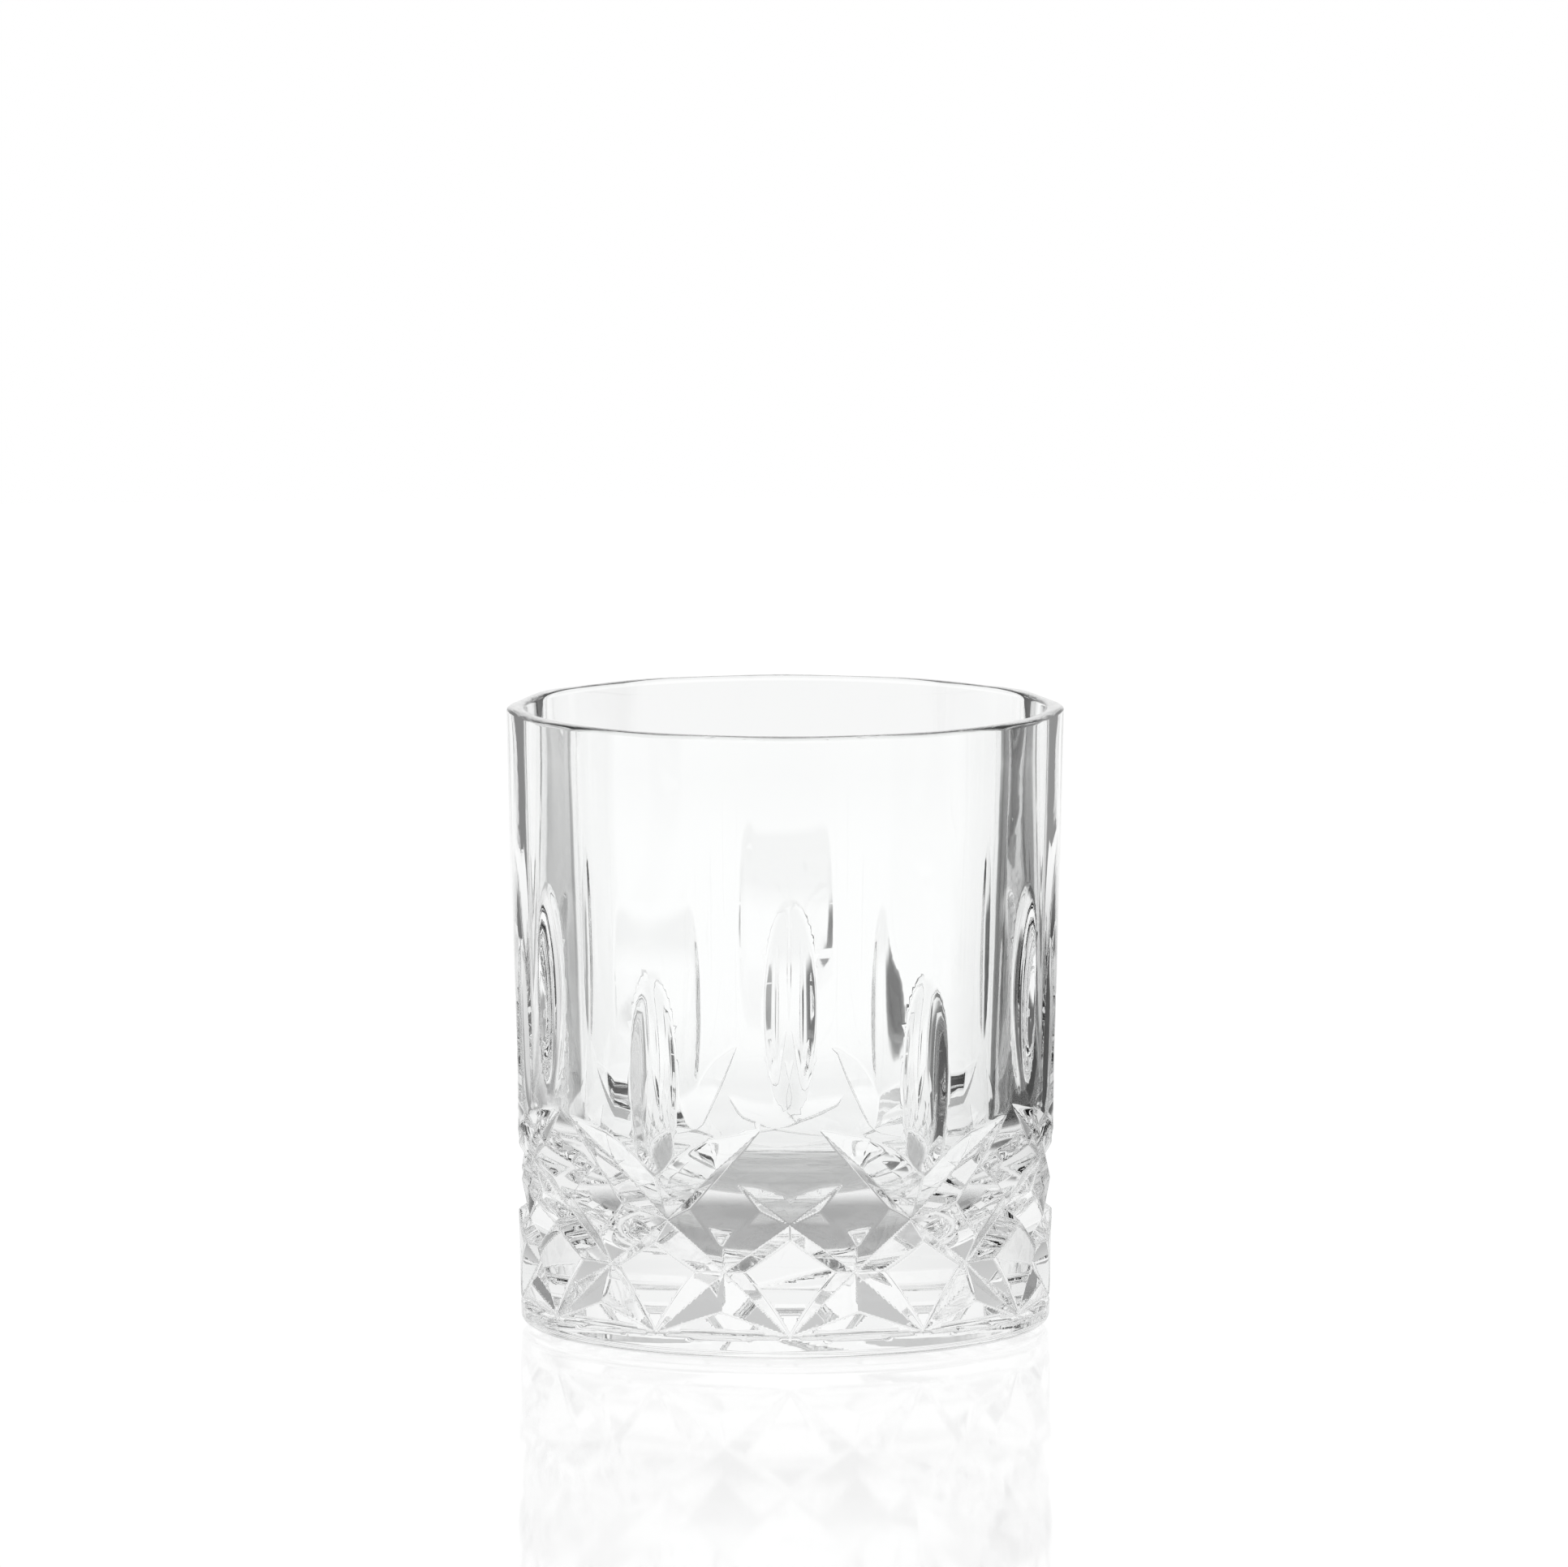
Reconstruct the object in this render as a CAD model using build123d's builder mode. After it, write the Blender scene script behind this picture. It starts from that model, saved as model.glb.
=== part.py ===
from build123d import *
from math import atan2, cos, radians, sin, sqrt
import os

os.makedirs("parts", exist_ok=True)

# Pressed clear glass tumbler. Millimetres, +Z up, origin at the centre of the underside.
# The foot is nearly round. Towards the rim the wall grows twelve soft sides, with one of
# the ridges between them facing the front (-Y).
# Angles are measured around the glass from the front ridge. The cut pattern repeats six
# times: a plain panel foot at every second ridge, and a deep crossing at the ones between.

# Overall sizes
height = 92.2
rim_diameter = 82.8
base_diameter = 78.6

# Wall and bowl
rim_thickness = 2.8
floor_thickness = 15.5
foot_wall = 5.3
bowl_corner_radius = 20.0
side_count = 12
rim_ridge_share = 0.42
foot_ridge_share = 0.865
lip_radius = 0.8
foot_radius = 1.4

# Diamond cuts: height of each crossing above the underside
star_level = 3.4
lower_level = 12.5
upper_level = 19.7
short_tip_level = 26.0
long_tip_level = 34.0

# Diamond cuts: depth of each crossing below the side it lies on
star_depth = 0.2
lower_depth = 2.45
upper_depth = 4.05
short_depth = 2.7
long_waist_depth = 2.7

# Diamond cuts: how far round each arm runs past the upper crossing
short_reach = 11.0
long_reach = 23.5
long_waist_share = 0.55

# Diamond cuts: rise over depth of the face above the valley, and drop of the face below it
upper_face_slope = 1.7
lower_face_slope = 0.7

# Small pyramids between the lowest crossings
pyramid_level = 7.0
pyramid_depth = 0.05
pocket_lean = 0.4

# Upright leaf-shaped cuts, one on each ridge, low and high in turn
leaf_length = 29.0
leaf_depth = 1.9
leaf_round = 5.0
low_leaf_level = 39.7
high_leaf_level = 51.0

# Derived sizes
side_angle = 360 / side_count
half_angle = side_angle / 2
pattern_count = side_count // 2
rim_radius = rim_diameter / 2
base_radius = base_diameter / 2
corner_cut = 1 / cos(radians(half_angle)) - 1
bowl_rim_radius = rim_radius - rim_thickness
rim_ridge_radius = rim_ridge_share * rim_radius
foot_ridge_radius = foot_ridge_share * base_radius
bowl_floor_radius = base_radius - foot_wall
bowl_draft = (bowl_rim_radius - bowl_floor_radius) / (height - floor_thickness)
overshoot = 2 * rim_thickness
cut_height = 2 * upper_depth
leaf_wheel_radius = (leaf_length / 2) ** 2 / (2 * leaf_depth) + leaf_depth / 2


def between(foot_value, rim_value, level):
    return foot_value + (rim_value - foot_value) * level / height


def ridge_at(level):
    return between(base_radius, rim_radius, level)


def surface_at(angle, level):
    half = radians(half_angle)
    from_middle = radians(angle % side_angle) - half
    from_ridge = half - abs(from_middle)
    rounding = between(foot_ridge_radius, rim_ridge_radius, level)
    corner = ridge_at(level) + rounding * corner_cut
    centre = ridge_at(level) - rounding
    if from_ridge > atan2(rounding * sin(half), centre + rounding * cos(half)):
        return corner * cos(half) / cos(from_middle)
    return centre * cos(from_ridge) + sqrt(rounding**2 - (centre * sin(from_ridge)) ** 2)


def cut_point(angle, level, depth):
    reach = surface_at(angle, level) - depth
    return Vector(reach * sin(radians(angle)), -reach * cos(radians(angle)), level)


def groove_pair(*nodes):
    with BuildPart() as pair:
        for angle, level, depth in nodes:
            outward = (sin(radians(angle)), -cos(radians(angle)), 0)
            across = (-cos(radians(angle)), -sin(radians(angle)), 0)
            with BuildSketch(Plane(cut_point(angle, level, depth), x_dir=outward, z_dir=across)):
                Polygon(
                    (0, 0),
                    (cut_height, cut_height * upper_face_slope),
                    (cut_height, -cut_height * lower_face_slope),
                    align=None,
                )
        loft(ruled=True)
        mirror(about=Plane.YZ)
    return pair.part


# Each groove climbs from a star through two crossings to its tip
long_waist_level = upper_level + long_waist_share * (long_tip_level - upper_level)
long_groove = groove_pair(
    (0, star_level, star_depth),
    (half_angle, lower_level, lower_depth),
    (side_angle, upper_level, upper_depth),
    (side_angle + long_waist_share * long_reach, long_waist_level, long_waist_depth),
    (side_angle + long_reach, long_tip_level, 0),
)
short_groove = groove_pair(
    (side_angle, star_level, star_depth),
    (side_angle + half_angle, lower_level, lower_depth),
    (2 * side_angle, upper_level, short_depth),
    (2 * side_angle + short_reach, short_tip_level, 0),
)

# Triangular pocket between three crossings, and the pyramid that stands in it
pyramid_tip = cut_point(half_angle, pyramid_level, pyramid_depth)
pocket_floor = Face(
    Wire.make_polygon(
        [
            cut_point(0, star_level, star_depth),
            cut_point(side_angle, star_level, star_depth),
            cut_point(half_angle, lower_level, lower_depth),
        ]
    )
)
pocket_way_out = Vector(pyramid_tip.X, pyramid_tip.Y, -pocket_lean * pyramid_tip.length).normalized()
with BuildPart() as pocket:
    extrude(pocket_floor, amount=cut_height, dir=pocket_way_out)
with BuildPart() as pyramid:
    loft([pocket_floor, Vertex(pyramid_tip.X, pyramid_tip.Y, pyramid_tip.Z)])

# Wheel that grinds one leaf, at the front, with its edge rounded across
leaf_valley = base_radius - leaf_depth
with BuildPart() as leaf_wheel:
    with BuildSketch(Plane.XY):
        with Locations((0, -leaf_valley - leaf_round)):
            Circle(leaf_round)
    revolve(axis=Axis((0, -leaf_valley - leaf_wheel_radius, 0), (1, 0, 0)))

with BuildPart() as tumbler:
    with BuildSketch(Plane.XY):
        RegularPolygon(base_radius + foot_ridge_radius * corner_cut, side_count)
        fillet(vertices(), foot_ridge_radius)
    with BuildSketch(Plane.XY.offset(height)):
        RegularPolygon(rim_radius + rim_ridge_radius * corner_cut, side_count)
        fillet(vertices(), rim_ridge_radius)
    loft(ruled=True)
    fillet(edges().group_by(Axis.Z)[0], foot_radius)
    with BuildSketch(Plane.XZ):
        with BuildLine():
            Polyline(
                (0, floor_thickness),
                (bowl_floor_radius, floor_thickness),
                (bowl_rim_radius + bowl_draft * overshoot, height + overshoot),
                (0, height + overshoot),
                close=True,
            )
        make_face()
        fillet(vertices().sort_by(Axis.X)[-2:].sort_by(Axis.Y)[0], bowl_corner_radius)
    revolve(axis=Axis.Z, mode=Mode.SUBTRACT)
    fillet(edges().group_by(Axis.Z)[-1], lip_radius)
    with PolarLocations(0, pattern_count):
        add(long_groove, mode=Mode.SUBTRACT)
        add(short_groove, mode=Mode.SUBTRACT)
    with PolarLocations(0, side_count):
        add(pocket.part, mode=Mode.SUBTRACT)
    with PolarLocations(0, side_count):
        add(pyramid.part)
    with PolarLocations(0, pattern_count):
        with Locations((0, base_radius - ridge_at(high_leaf_level), high_leaf_level)):
            add(leaf_wheel.part, mode=Mode.SUBTRACT)
    with PolarLocations(0, pattern_count, start_angle=side_angle):
        with Locations((0, base_radius - ridge_at(low_leaf_level), low_leaf_level)):
            add(leaf_wheel.part, mode=Mode.SUBTRACT)
tumbler.part.label = "tumbler"
print(tumbler.part.volume, tumbler.part.is_valid)
export_step(tumbler.part, "parts/tumbler.step")
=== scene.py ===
import math

import bmesh
import bpy
import numpy as np
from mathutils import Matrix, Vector
from mathutils.geometry import delaunay_2d_cdt


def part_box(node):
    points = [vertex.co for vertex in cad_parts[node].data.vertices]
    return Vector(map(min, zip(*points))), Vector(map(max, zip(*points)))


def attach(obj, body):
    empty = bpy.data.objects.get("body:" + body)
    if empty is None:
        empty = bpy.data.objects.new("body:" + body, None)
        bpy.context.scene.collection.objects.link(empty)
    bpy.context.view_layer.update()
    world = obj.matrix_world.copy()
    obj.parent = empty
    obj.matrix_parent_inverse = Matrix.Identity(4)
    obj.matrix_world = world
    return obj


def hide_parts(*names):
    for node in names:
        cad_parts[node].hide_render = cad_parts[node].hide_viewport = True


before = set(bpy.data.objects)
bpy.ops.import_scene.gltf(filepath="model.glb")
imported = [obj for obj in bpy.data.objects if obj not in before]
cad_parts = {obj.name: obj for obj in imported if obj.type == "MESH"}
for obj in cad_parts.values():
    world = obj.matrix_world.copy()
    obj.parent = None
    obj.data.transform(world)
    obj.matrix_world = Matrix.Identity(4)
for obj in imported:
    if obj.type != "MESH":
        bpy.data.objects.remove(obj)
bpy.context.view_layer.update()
lowCorner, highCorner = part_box("tumbler")
print("frame loaded")

# the glass itself is worked out in millimetres and degrees until its mesh is written
perMetre = 1000
noCut = 1000.0  # the radius given where a cut doesn't reach, far outside the glass

body = {
    "height": (highCorner.z - lowCorner.z) * perMetre,
    "footRadius": 39.3,
    "rimRadius": 41.4,
    "footRidgeRound": 0.865 * 39.3,
    "rimRidgeRound": 0.42 * 41.4,
    "sides": 12,
    "lip": 0.8,
    "footEdge": 1.4,
}
sideAngle = 360 / body["sides"]
halfSide = sideAngle / 2
repeatAngle = 2 * sideAngle


def softMin(a, b, softness):
    overlap = np.maximum(softness - np.abs(a - b), 0) / softness
    return np.minimum(a, b) - overlap * overlap * softness / 4


def softMax(a, b, softness):
    return -softMin(-a, -b, softness)


def ridgeAt(level):
    return body["footRadius"] + (body["rimRadius"] - body["footRadius"]) * level / body["height"]


def plainSurface(angle, level):
    # the uncut outer wall: flat sides that meet in ridges, rounder towards the foot
    half = math.radians(halfSide)
    fromRidge = np.radians(np.abs((angle + halfSide) % sideAngle - halfSide))
    change = body["rimRidgeRound"] - body["footRidgeRound"]
    rounding = body["footRidgeRound"] + change * level / body["height"]
    centre = ridgeAt(level) - rounding
    corner = ridgeAt(level) + rounding * (1 / math.cos(half) - 1)
    side = corner * math.cos(half) / np.cos(half - fromRidge)
    ridge = centre * np.cos(fromRidge) + np.sqrt(rounding**2 - (centre * np.sin(fromRidge)) ** 2)
    tangent = np.arctan2(rounding * math.sin(half), centre + rounding * math.cos(half))
    return np.where(fromRidge > tangent, side, ridge)


def spotAt(angle, level, depth):
    return (angle, float(plainSurface(np.array(float(angle)), np.array(level))) - depth, level)


# each groove is a line of (angle, height, depth) from a low crossing up to its tip
grooves = {
    "long": [(0, 3.4, 0.2), (15, 12.5, 2.45), (30, 19.7, 4.05), (42.925, 27.565, 2.7), (53.5, 34.0, 0.0)],
    "short": [(30, 3.4, 0.2), (45, 12.5, 2.45), (60, 19.7, 2.7), (71, 26.0, 0.0)],
    "upperSlope": 1.7,
    "lowerSlope": 0.7,
    "valleySoftness": 0.12,
    "edgeSoftness": 0.3,
    "endSlack": 1e-9,
}


def valleyLine(points, angle):
    # radius and height of a groove's lowest line at each angle; noCut past its ends
    reach = np.full_like(angle, noCut)
    height = np.zeros_like(angle)
    slack = grooves["endSlack"]
    for start, end in zip(points, points[1:]):
        a0, r0, z0 = spotAt(*start)
        a1, r1, z1 = spotAt(*end)
        here = (angle >= a0 - slack) & (angle <= a1 + slack)
        near, far = np.radians(angle - a0), np.radians(a1 - angle)
        across = r0 * np.sin(near) + r1 * np.sin(far)
        across = np.where(here, across, 1.0)
        share = r0 * np.sin(near) / across
        reach = np.where(here, r0 * r1 * math.sin(math.radians(a1 - a0)) / across, reach)
        height = np.where(here, z0 + (z1 - z0) * share, height)
    return reach, height


def grooveSurface(points, angle, level):
    reach, height = valleyLine(points, angle)
    above = (level - height) / grooves["upperSlope"]
    below = (height - level) / grooves["lowerSlope"]
    return reach + softMax(above, below, grooves["valleySoftness"])


leaves = {
    "length": 29.0,
    "depth": 1.9,
    "round": 5.0,
    "highLevel": 51.0,
    "lowLevel": 39.7,
    "edgeSoftness": 0.5,
    "widestShare": 0.98,  # of the round, followed across a leaf
    "tallestShare": 0.7,  # of the length, followed up and down from a leaf's middle
    "passes": 5,
}


def leafSurface(turn, middle, level):
    # a hollow ground by a wheel with a rounded edge, found by stepping towards its surface
    wheel = (leaves["length"] / 2) ** 2 / (2 * leaves["depth"]) + leaves["depth"] / 2
    centre = ridgeAt(middle) - leaves["depth"] + wheel
    rise = level - middle
    away = np.radians(turn)
    reach = np.full_like(level, ridgeAt(middle))
    for _ in range(leaves["passes"]):
        across = np.minimum(np.abs(reach * np.sin(away)), leaves["round"] * leaves["widestShare"])
        ring = wheel - leaves["round"] + np.sqrt(leaves["round"] ** 2 - across**2)
        reach = (centre - np.sqrt(np.maximum(ring**2 - rise**2, 1.0))) / np.cos(away)
    inside = (np.abs(rise) < leaves["length"] * leaves["tallestShare"]) & (np.abs(turn) < halfSide)
    return np.where(inside, reach, noCut)


pyramids = {
    "level": 7.0,
    "depth": 0.05,
    "ledgeLean": 0.4,
    "softness": 0.12,
    "uprightRise": 10,
}


def planeSurface(corners, angle, level):
    spots = []
    for cornerAngle, reach, height in corners:
        turn = math.radians(cornerAngle)
        spots.append(np.array((reach * math.sin(turn), -reach * math.cos(turn), height)))
    normal = np.cross(spots[1] - spots[0], spots[2] - spots[0])
    turn = np.radians(angle)
    return (normal @ spots[0] - normal[2] * level) / (normal[0] * np.sin(turn) - normal[1] * np.cos(turn))


def pyramidSurface(angle, level):
    # three facets in each pocket between the lowest crossings, and the ledge under them
    left, apex = spotAt(*grooves["long"][0]), spotAt(*grooves["long"][1])
    right = spotAt(*grooves["short"][0])
    tip = spotAt(halfSide, pyramids["level"], pyramids["depth"])
    facets = planeSurface((left, right, tip), angle, level)
    for facet in ((left, apex, tip), (right, apex, tip)):
        facets = softMin(facets, planeSurface(facet, angle, level), pyramids["softness"])
    foot = left[2]
    upright = (halfSide, left[1] * math.cos(math.radians(halfSide)), foot + pyramids["uprightRise"])
    chord = planeSurface((left, right, upright), angle, level)
    ledge = chord + (foot - level) / pyramids["ledgeLean"]
    surface = np.where(level > foot, facets, np.maximum(ledge, chord))
    leftHeight = valleyLine(grooves["long"], angle)[1]
    rightHeight = valleyLine(grooves["short"], repeatAngle - angle)[1]
    return np.where((level <= leftHeight) & (level <= rightHeight), surface, noCut)


def glassSurface(angle, level):
    # the pattern repeats every two sides and each repeat is its own mirror image
    fold = angle % repeatAngle
    fold = np.where(fold > sideAngle, repeatAngle - fold, fold)
    surface = plainSurface(fold, level)
    for name, turned in (
        ("long", fold),
        ("long", repeatAngle - fold),
        ("short", repeatAngle - fold),
        ("short", repeatAngle + fold),
    ):
        surface = softMin(surface, grooveSurface(grooves[name], turned, level), grooves["edgeSoftness"])
    for turned, middle in ((fold, leaves["highLevel"]), (fold - sideAngle, leaves["lowLevel"])):
        surface = softMin(surface, leafSurface(turned, middle, level), leaves["edgeSoftness"])
    return softMin(surface, pyramidSurface(fold, level), pyramids["softness"])


meshing = {
    "columns": 24,
    "rowHeight": 1.0,
    "deepest": 2,
    "tolerance": 0.025,
    "probes": 5,
    "arcSteps": 7,
    "baseRings": 3,
    "degreeWidth": 0.7,
    "flatTolerance": 1e-7,
    "weldMetres": 2e-6,
    "levelSlack": 1e-4,
    "onWall": 0.01,
    "turnStep": 0.02,
    "riseStep": 0.015,
}


def samplePoints(low, high):
    # a grid over one mirrored half of the pattern, with smaller cells where the surface bends
    rows = int(round((high - low) / meshing["rowHeight"]))
    columns = meshing["columns"]
    fine = 2 ** meshing["deepest"]
    step = np.array((sideAngle / (columns * fine), (high - low) / (rows * fine)))
    cells = np.array([(c * fine, r * fine) for c in range(columns) for r in range(rows)])
    found = {(c * fine, r * fine) for c in range(columns + 1) for r in range(rows + 1)}
    size = fine
    shares = np.linspace(0, 1, meshing["probes"])
    u, v = np.meshgrid(shares, shares, indexing="ij")
    for _ in range(meshing["deepest"]):
        a = (cells[:, 0, None, None] + u * size) * step[0]
        z = low + (cells[:, 1, None, None] + v * size) * step[1]
        r = glassSurface(a, z)
        c00, c10, c01, c11 = (r[:, i, j][:, None, None] for i, j in ((0, 0), (-1, 0), (0, -1), (-1, -1)))
        guess = c00 * (1 - u) * (1 - v) + c10 * u * (1 - v) + c01 * (1 - u) * v + c11 * u * v
        bends = np.abs(r - guess).max(axis=(1, 2)) > meshing["tolerance"]
        bends &= (cells[:, 1] >= fine) & (cells[:, 1] + size <= (rows - 1) * fine)
        cells = cells[bends]
        half = size // 2
        for c, row in cells:
            for i in (0, half, size):
                for j in (0, half, size):
                    found.add((int(c + i), int(row + j)))
        cells = np.concatenate([cells + (i, j) for i in (0, half) for j in (0, half)])
        size = half
    grid = np.array(sorted(found))
    return grid[:, 0] * step[0], low + grid[:, 1] * step[1]


bowl = {
    "rimRadius": 38.6,
    "floorLevel": 15.5,
    "floorRadius": 34.0,
    "corner": 20.0,
    "wallRows": 12,
    "cornerRows": 24,
    "floorRings": 4,
}


def ringProfile(outTop, outFoot):
    # over goes across the lip and down the bowl to its centre, under from the foot to the base's centre
    lip, height = body["lip"], body["height"]
    top = height - lip
    draft = (bowl["rimRadius"] - bowl["floorRadius"]) / (height - bowl["floorLevel"])
    inner = bowl["rimRadius"] - draft * lip
    quarter = np.linspace(0, math.pi / 2, meshing["arcSteps"])
    over = [(outTop - lip + lip * np.cos(a), top + lip * np.sin(a)) for a in quarter]
    over += [(inner + lip - lip * np.sin(a), top + lip * np.cos(a)) for a in quarter]
    corner, floorLevel = bowl["corner"], bowl["floorLevel"]
    slant = math.atan(draft)
    centreLevel = floorLevel + corner
    centreReach = bowl["floorRadius"] + draft * corner - corner / math.cos(slant)
    wallEnd = centreLevel - corner * math.sin(slant)
    for z in np.linspace(top, wallEnd, bowl["wallRows"])[1:]:
        over.append((bowl["floorRadius"] + draft * (z - floorLevel), z))
    for a in np.linspace(-slant, -math.pi / 2, bowl["cornerRows"])[1:]:
        over.append((centreReach + corner * math.cos(a), centreLevel + corner * math.sin(a)))
    for share in np.linspace(1, 0, bowl["floorRings"] + 1)[1:-1]:
        over.append((centreReach * share, floorLevel))
    edge = body["footEdge"]
    under = [(outFoot - edge + edge * np.cos(a), edge - edge * np.sin(a)) for a in quarter]
    for share in np.linspace(1, 0, meshing["baseRings"] + 1)[1:-1]:
        under.append(((outFoot - edge) * share, 0.0))
    return over, under


def place(angle, reach, level):
    turn = np.radians(angle)
    return np.stack((reach * np.sin(turn), -reach * np.cos(turn), level + 0 * turn), axis=-1)


def wallNormals(mesh, low, high):
    # the outer wall is shaded from its true slope; the rest keeps the mesh's own normals
    spots = np.array([vertex.co for vertex in mesh.vertices]) * perMetre
    normals = np.array([vertex.normal for vertex in mesh.vertices])
    angle = np.degrees(np.arctan2(spots[:, 0], -spots[:, 1]))
    level, reach = spots[:, 2], np.hypot(spots[:, 0], spots[:, 1])
    wall = (level > low - meshing["levelSlack"]) & (level < high + meshing["levelSlack"])
    wall[wall] = np.abs(reach[wall] - glassSurface(angle[wall], level[wall])) < meshing["onWall"]
    angle, level, reach = angle[wall], level[wall], reach[wall]
    turnStep, riseStep = meshing["turnStep"], meshing["riseStep"]
    around = glassSurface(angle + turnStep, level) - glassSurface(angle - turnStep, level)
    around = around / math.radians(2 * turnStep)
    up = (glassSurface(angle, level + riseStep) - glassSurface(angle, level - riseStep)) / (2 * riseStep)
    turn = np.radians(angle)
    outward = np.stack((np.sin(turn), -np.cos(turn), 0 * turn), axis=-1)
    sideways = np.stack((np.cos(turn), np.sin(turn), 0 * turn), axis=-1)
    slope = outward - sideways * (around / reach)[:, None] - np.array((0, 0, 1.0)) * up[:, None]
    normals[wall] = slope / np.linalg.norm(slope, axis=1)[:, None]
    return normals


def wallParts(low, high):
    # the outer wall is one wedge, turned and mirrored all the way round
    angles, levels = samplePoints(low, high)
    print("surface points in one wedge:", len(angles))
    flat = [Vector((a * meshing["degreeWidth"], z)) for a, z in zip(angles, levels)]
    triangles = np.array(delaunay_2d_cdt(flat, [], [], 0, meshing["flatTolerance"])[2])
    reach = glassSurface(angles, levels)
    points, faces = [], []
    for repeat in range(body["sides"] // 2):
        for side in (1, -1):
            start = len(points) * len(angles)
            points.append(place(repeat * repeatAngle + side * angles, reach, levels))
            faces.append((triangles if side == 1 else triangles[:, ::-1]) + start)
    return points, faces, len(points) * len(angles)


def ringParts(low, high, start):
    # the lip, the bowl and the underside are rings of quads, each closed by a fan
    columns = meshing["columns"] * body["sides"]
    around = np.arange(columns) * 360 / columns
    index = np.arange(columns)
    after = (index + 1) % columns
    outTop = glassSurface(around, np.full(columns, high))
    outFoot = glassSurface(around, np.full(columns, low))
    over, under = ringProfile(outTop, outFoot)
    points, fans, quads = [], [], []
    for rings, centreLevel, flip in ((over, bowl["floorLevel"], False), (under, 0.0, True)):
        first = start
        for ringReach, ringLevel in rings:
            points.append(place(around, ringReach, ringLevel))
            start += columns
        for ring in range(len(rings) - 1):
            a, b = first + ring * columns, first + (ring + 1) * columns
            quad = np.stack((a + index, a + after, b + after, b + index), axis=1)
            quads.append(quad[:, ::-1] if flip else quad)
        points.append(np.array([(0.0, 0.0, centreLevel)]))
        last = first + (len(rings) - 1) * columns
        fan = np.stack((last + index, last + after, np.full(columns, start)), axis=1)
        fans.append(fan[:, ::-1] if flip else fan)
        start += 1
    return points, fans + quads


def buildTumbler():
    low, high = body["footEdge"], body["height"] - body["lip"]
    wallPoints, wallFaces, count = wallParts(low, high)
    ringPoints, ringFaces = ringParts(low, high, count)
    everyPoint = np.concatenate(wallPoints + ringPoints) / perMetre
    everyFace = [tuple(map(int, face)) for group in wallFaces + ringFaces for face in group]
    mesh = bpy.data.meshes.new("tumblerGlass")
    mesh.from_pydata(everyPoint.tolist(), [], everyFace)
    work = bmesh.new()
    work.from_mesh(mesh)
    bmesh.ops.remove_doubles(work, verts=work.verts, dist=meshing["weldMetres"])
    bmesh.ops.recalc_face_normals(work, faces=work.faces)
    openEdges = sum(1 for edge in work.edges if not edge.is_manifold)
    millilitres = round(work.calc_volume() * 1e6, 2)
    print("faces:", len(work.faces), "open edges:", openEdges, "volume ml:", millilitres)
    work.to_mesh(mesh)
    work.free()
    for polygon in mesh.polygons:
        polygon.use_smooth = True
    mesh.normals_split_custom_set_from_vertices(wallNormals(mesh, low, high))
    piece = bpy.data.objects.new("tumblerGlass", mesh)
    bpy.context.scene.collection.objects.link(piece)
    return piece


def grey(shade):
    return (shade, shade, shade, 1.0)


def fillSocket(tree, socket, value):
    if isinstance(value, bpy.types.NodeSocket):
        tree.links.new(value, socket)
    else:
        socket.default_value = value


def mathNode(tree, operation, *values):
    node = tree.nodes.new("ShaderNodeMath")
    node.operation = operation
    for socket, value in zip(node.inputs, values):
        fillSocket(tree, socket, value)
    return node.outputs[0]


def rangeNode(tree, value, fromMin, fromMax, toMin=0.0, toMax=1.0, kind="LINEAR"):
    node = tree.nodes.new("ShaderNodeMapRange")
    node.interpolation_type = kind
    node.inputs["From Min"].default_value = fromMin
    node.inputs["From Max"].default_value = fromMax
    node.inputs["To Min"].default_value = toMin
    node.inputs["To Max"].default_value = toMax
    tree.links.new(value, node.inputs["Value"])
    return node.outputs["Result"]


def mixNode(tree, factor, first, second, kind="MIX"):
    node = tree.nodes.new("ShaderNodeMix")
    node.data_type = "RGBA"
    node.blend_type = kind
    fillSocket(tree, node.inputs["Factor"], factor)
    fillSocket(tree, node.inputs["A"], first)
    fillSocket(tree, node.inputs["B"], second)
    return node.outputs["Result"]


def rampNode(tree, value, stops):
    node = tree.nodes.new("ShaderNodeValToRGB")
    elements = node.color_ramp.elements
    while len(elements) < len(stops):
        elements.new(0.5)
    for element, (spot, shade) in zip(elements, stops):
        element.position = spot
        element.color = grey(shade)
    tree.links.new(value, node.inputs["Fac"])
    return node.outputs["Color"]


def noiseNode(tree, vector, scale, detail):
    node = tree.nodes.new("ShaderNodeTexNoise")
    node.inputs["Scale"].default_value = scale
    node.inputs["Detail"].default_value = detail
    tree.links.new(vector, node.inputs["Vector"])
    return node.outputs["Fac"]


glassLook = {
    "tint": (0.985, 0.99, 0.988, 1.0),
    "ior": 1.52,
    "waveScale": 60.0,
    "waveDetail": 1.0,
    "waveHeight": 0.00004,
    "rippleScale": 260.0,
    "rippleDetail": 2.0,
    "rippleShare": 0.12,
}


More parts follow.
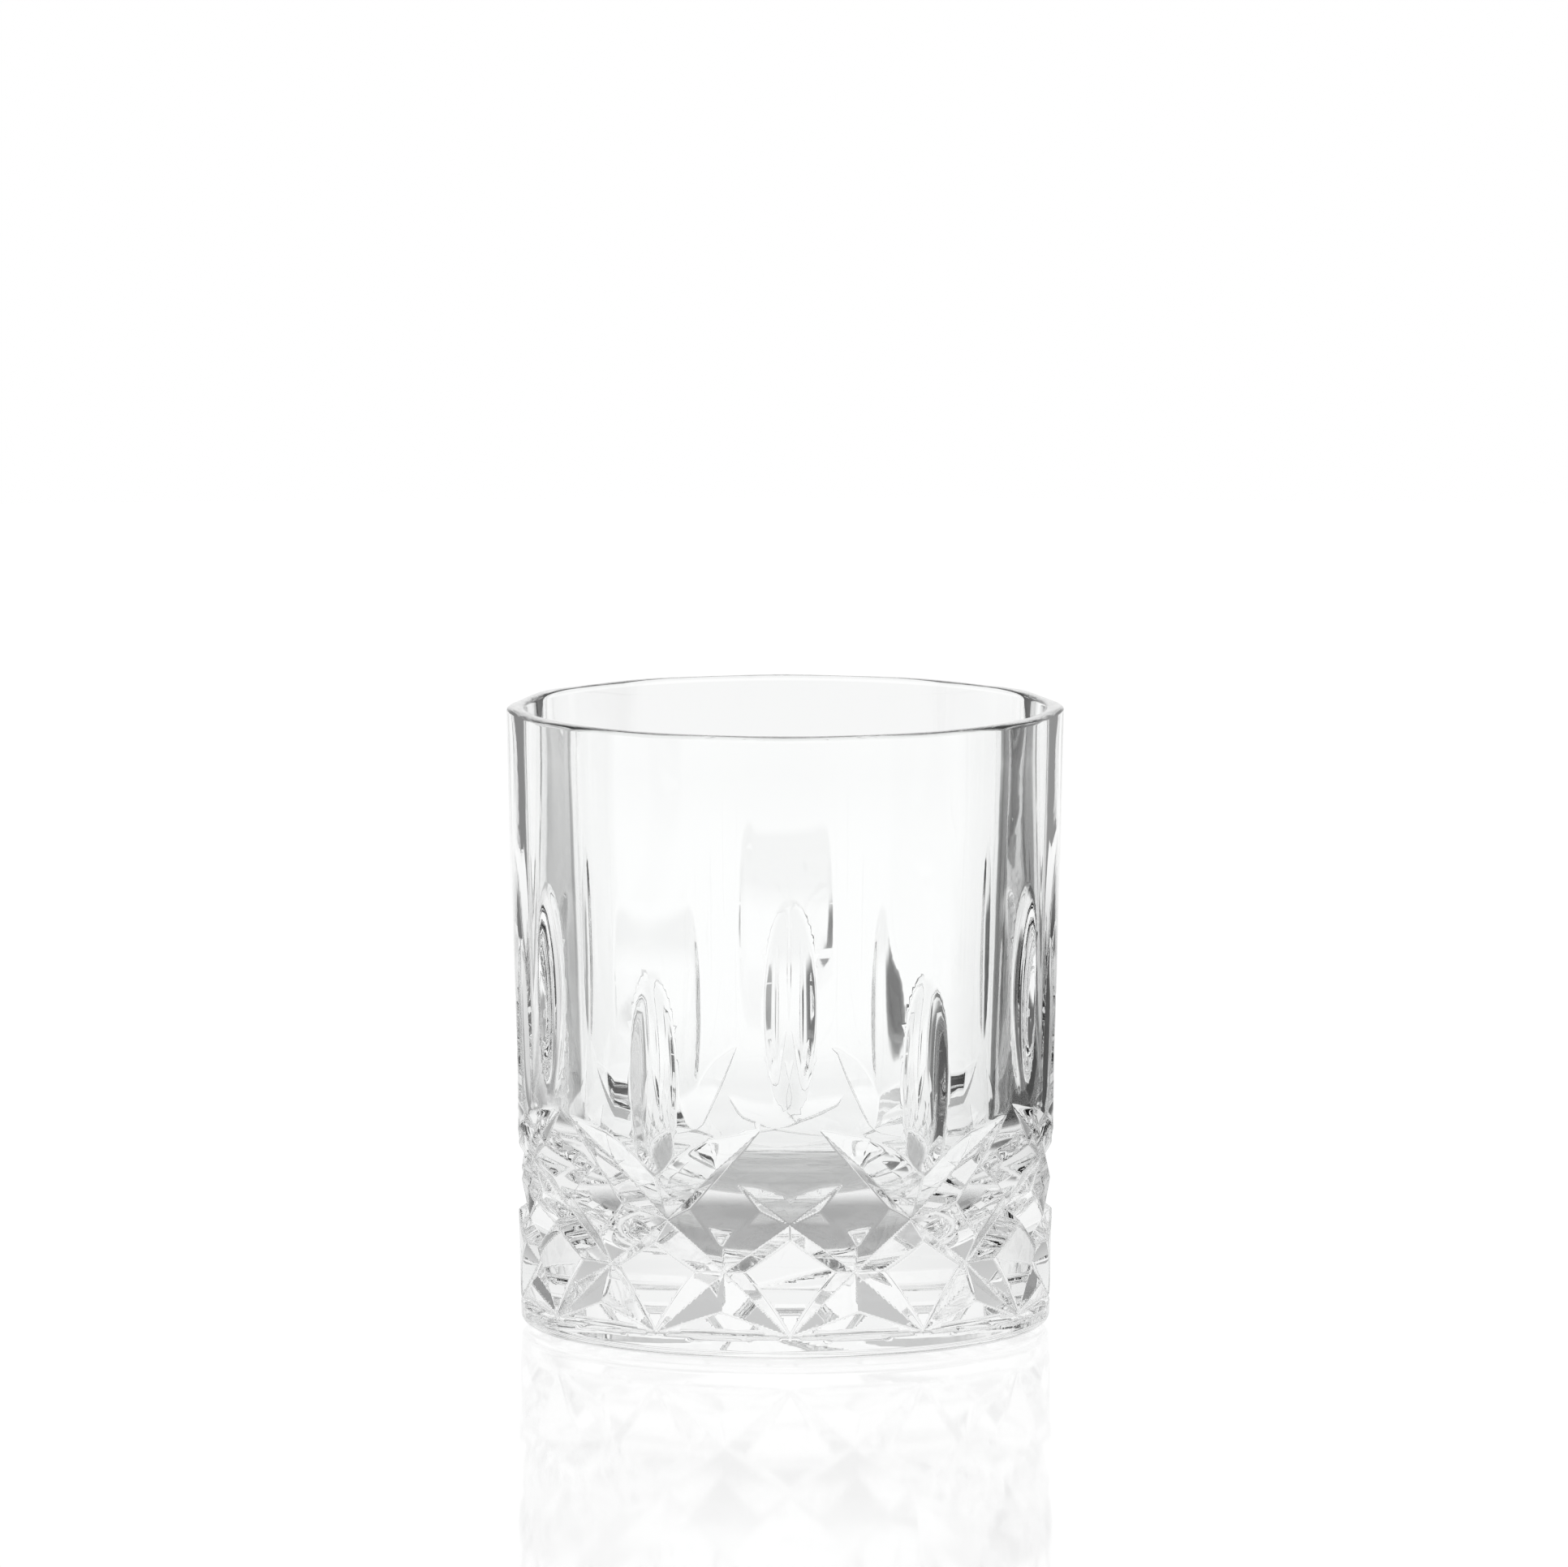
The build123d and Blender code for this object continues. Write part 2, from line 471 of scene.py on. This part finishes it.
def buildGlass():
    material = bpy.data.materials.new("clearGlass")
    material.use_nodes = True
    tree = material.node_tree
    shader = tree.nodes["Principled BSDF"]
    shader.inputs["Base Color"].default_value = glassLook["tint"]
    shader.inputs["Metallic"].default_value = 0.0
    shader.inputs["Roughness"].default_value = 0.0
    shader.inputs["IOR"].default_value = glassLook["ior"]
    shader.inputs["Transmission Weight"].default_value = 1.0
    # fire polishing leaves slow waves in the surface, with a finer ripple over them
    coords = tree.nodes.new("ShaderNodeTexCoord").outputs["Object"]
    wave = noiseNode(tree, coords, glassLook["waveScale"], glassLook["waveDetail"])
    ripple = noiseNode(tree, coords, glassLook["rippleScale"], glassLook["rippleDetail"])
    bump = tree.nodes.new("ShaderNodeBump")
    bump.inputs["Distance"].default_value = glassLook["waveHeight"]
    height = mathNode(tree, "MULTIPLY_ADD", ripple, glassLook["rippleShare"], wave)
    tree.links.new(height, bump.inputs["Height"])
    tree.links.new(bump.outputs["Normal"], shader.inputs["Normal"])
    return material


# around goes by turn: 0.5 is straight behind the glass, 0 and 1 are the camera's side
# upward goes by the sine of the height over the horizon
worldLook = {
    "around": [
        (0.0, 0.85), (0.15, 0.9), (0.3, 0.92), (0.4, 0.95), (0.5, 1.0),
        (0.6, 0.95), (0.7, 0.92), (0.85, 0.9), (1.0, 0.85),
    ],
    "upward": [
        (0.0, 1.0), (0.3, 1.0), (0.36, 0.6), (0.45, 0.6),
        (0.52, 1.0), (0.84, 0.9), (0.92, 0.25), (1.0, 0.25),
    ],
    "backdrop": 1.0,
}


def buildWorld():
    world = bpy.data.worlds.new("studio")
    bpy.context.scene.world = world
    world.use_nodes = True
    tree = world.node_tree
    tree.nodes.clear()
    coords = tree.nodes.new("ShaderNodeTexCoord")
    split = tree.nodes.new("ShaderNodeSeparateXYZ")
    tree.links.new(coords.outputs["Generated"], split.inputs["Vector"])
    angle = mathNode(tree, "ARCTAN2", split.outputs["X"], split.outputs["Y"])
    turn = rangeNode(tree, angle, -math.pi, math.pi)
    around = rampNode(tree, turn, worldLook["around"])
    # bright low down, then a grey gap, a lit band above it and a dim ceiling
    upward = rampNode(tree, split.outputs["Z"], worldLook["upward"])
    room = mixNode(tree, 1.0, around, upward, "MULTIPLY")
    rays = tree.nodes.new("ShaderNodeLightPath")
    seen = mixNode(tree, rays.outputs["Is Camera Ray"], room, grey(worldLook["backdrop"]))
    background = tree.nodes.new("ShaderNodeBackground")
    tree.links.new(seen, background.inputs["Color"])
    output = tree.nodes.new("ShaderNodeOutputWorld")
    tree.links.new(background.outputs["Background"], output.inputs["Surface"])


# lengths are in metres; across gives the painted shade by the distance to one side of the strip's middle
floorLook = {
    "radius": 1.2,
    "corners": 96,
    "airGap": 0.0005,
    "plain": 0.8,
    "shine": 0.22,
    "faintShine": 0.03,
    "roughness": 0.05,
    "stripStart": 0.1,
    "stripSpread": 4.0,
    "stripLength": 0.5,
    "nearDepth": 0.0,
    "farDepth": 0.25,
    "nearShade": 0.85,
    "halfWidth": 0.5,
    "across": [
        (-0.5, 0.85), (-0.36, 0.6), (-0.27, 0.5), (-0.23, 0.8), (-0.13, 0.8), (-0.11, 0.35), (-0.085, 0.3),
        (-0.07, 1.0), (0.062, 1.0), (0.07, 0.25), (0.085, 0.05), (0.4, 0.02), (0.5, 0.5),
    ],
    "farShade": 1.0,
    "fadeFrom": 0.32,
    "fadeTo": 0.55,
    "openShade": 0.92,
    "frontFrom": 0.02,
    "frontTo": 0.1,
    "edgeFrom": 0.42,
    "edgeTo": 0.6,
    "underShade": 0.38,
    "underFrom": 0.03,
    "underTo": 0.038,
}


def paintedFloorShade(tree):
    # painted light and shade, seen by every ray but the camera's: a painted lit strip runs straight back
    # from the glass, and painted shade darkens the floor on each side of it
    spot = tree.nodes.new("ShaderNodeNewGeometry").outputs["Position"]
    split = tree.nodes.new("ShaderNodeSeparateXYZ")
    tree.links.new(spot, split.inputs["Vector"])
    sideways, back = split.outputs["X"], split.outputs["Y"]
    start, length, width = floorLook["stripStart"], floorLook["stripLength"], floorLook["halfWidth"]
    spread = rangeNode(tree, back, start, start + length, 1.0, 1.0 + floorLook["stripSpread"] * length)
    side = rangeNode(tree, mathNode(tree, "DIVIDE", sideways, spread), -width, width)
    strip = rampNode(tree, side, [(across + width, shade) for across, shade in floorLook["across"]])
    depth = rangeNode(tree, back, floorLook["nearDepth"], floorLook["farDepth"], floorLook["nearShade"], 1.0)
    shade = mixNode(tree, 1.0, strip, depth, "MULTIPLY")
    # far back the painted strip widens into a floor painted evenly bright
    fade = rangeNode(tree, back, floorLook["fadeFrom"], floorLook["fadeTo"], kind="SMOOTHSTEP")
    shade = mixNode(tree, fade, shade, grey(floorLook["farShade"]))
    # in front and further out the floor is painted evenly bright
    away = tree.nodes.new("ShaderNodeVectorMath")
    away.operation = "LENGTH"
    tree.links.new(spot, away.inputs[0])
    distance = away.outputs["Value"]
    front = rangeNode(tree, back, -floorLook["frontFrom"], -floorLook["frontTo"])
    edge = rangeNode(tree, distance, floorLook["edgeFrom"], floorLook["edgeTo"])
    shade = mixNode(tree, mathNode(tree, "MAXIMUM", front, edge), shade, grey(floorLook["openShade"]))
    # a painted shadow darkens the floor under the foot
    under = rangeNode(tree, distance, floorLook["underFrom"], floorLook["underTo"])
    return mixNode(tree, under, grey(floorLook["underShade"]), shade)


def buildFloor():
    # a thin gap is left under the glass, because its underside can't reflect where the floor touches it
    bpy.ops.mesh.primitive_circle_add(
        vertices=floorLook["corners"],
        radius=floorLook["radius"],
        fill_type="NGON",
        location=(0, 0, -floorLook["airGap"]),
    )
    floor = bpy.context.object
    floor.name = "floor"
    material = bpy.data.materials.new("opalFloorWithPaintedShade")
    material.use_nodes = True
    tree = material.node_tree
    tree.nodes.clear()
    # the floor glows: plain to the camera, and with painted light and shade to all other rays
    direct = tree.nodes.new("ShaderNodeLightPath").outputs["Is Camera Ray"]
    glow = tree.nodes.new("ShaderNodeEmission")
    tree.links.new(mixNode(tree, direct, paintedFloorShade(tree), grey(floorLook["plain"])), glow.inputs["Color"])
    shine = mixNode(tree, direct, grey(floorLook["faintShine"]), grey(floorLook["shine"]))
    gloss = tree.nodes.new("ShaderNodeBsdfGlossy")
    tree.links.new(shine, gloss.inputs["Color"])
    gloss.inputs["Roughness"].default_value = floorLook["roughness"]
    both = tree.nodes.new("ShaderNodeAddShader")
    tree.links.new(glow.outputs[0], both.inputs[0])
    tree.links.new(gloss.outputs[0], both.inputs[1])
    output = tree.nodes.new("ShaderNodeOutputMaterial")
    tree.links.new(both.outputs[0], output.inputs["Surface"])
    floor.data.materials.append(material)


cameraLook = {
    "aim": (-0.0002, 0.0, 0.0805),
    "distance": 2.35,
    "elevation": 6.9,
    "turn": -1.0,
    "framePixels": 1932,
    "pixelsPerMetre": 8300.0,
    "sensorWidth": 36.0,
    "farthest": 20.0,
}


def placeCamera():
    camera = bpy.data.objects.new("camera", bpy.data.cameras.new("camera"))
    bpy.context.scene.collection.objects.link(camera)
    rise = math.radians(cameraLook["elevation"])
    turn = math.radians(cameraLook["turn"])
    away = Vector((math.sin(turn) * math.cos(rise), -math.cos(turn) * math.cos(rise), math.sin(rise)))
    camera.location = Vector(cameraLook["aim"]) + away * cameraLook["distance"]
    camera.rotation_euler = (-away).to_track_quat("-Z", "Y").to_euler()
    viewWidth = cameraLook["framePixels"] / cameraLook["pixelsPerMetre"]
    camera.data.sensor_width = cameraLook["sensorWidth"]
    camera.data.lens = cameraLook["sensorWidth"] * cameraLook["distance"] / viewWidth
    camera.data.clip_end = cameraLook["farthest"]
    bpy.context.scene.camera = camera


# light crosses many surfaces inside the cuts, so it needs many bounces
bounces = {
    "all": 24,
    "transmission": 24,
    "glossy": 12,
}

tumbler = buildTumbler()
tumbler.data.materials.append(buildGlass())
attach(tumbler, "root")
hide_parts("tumbler")
print("glass done")
buildWorld()
buildFloor()
placeCamera()
scene = bpy.context.scene
scene.view_settings.view_transform = "Standard"
scene.cycles.max_bounces = bounces["all"]
scene.cycles.transmission_bounces = bounces["transmission"]
scene.cycles.glossy_bounces = bounces["glossy"]
print("studio done")
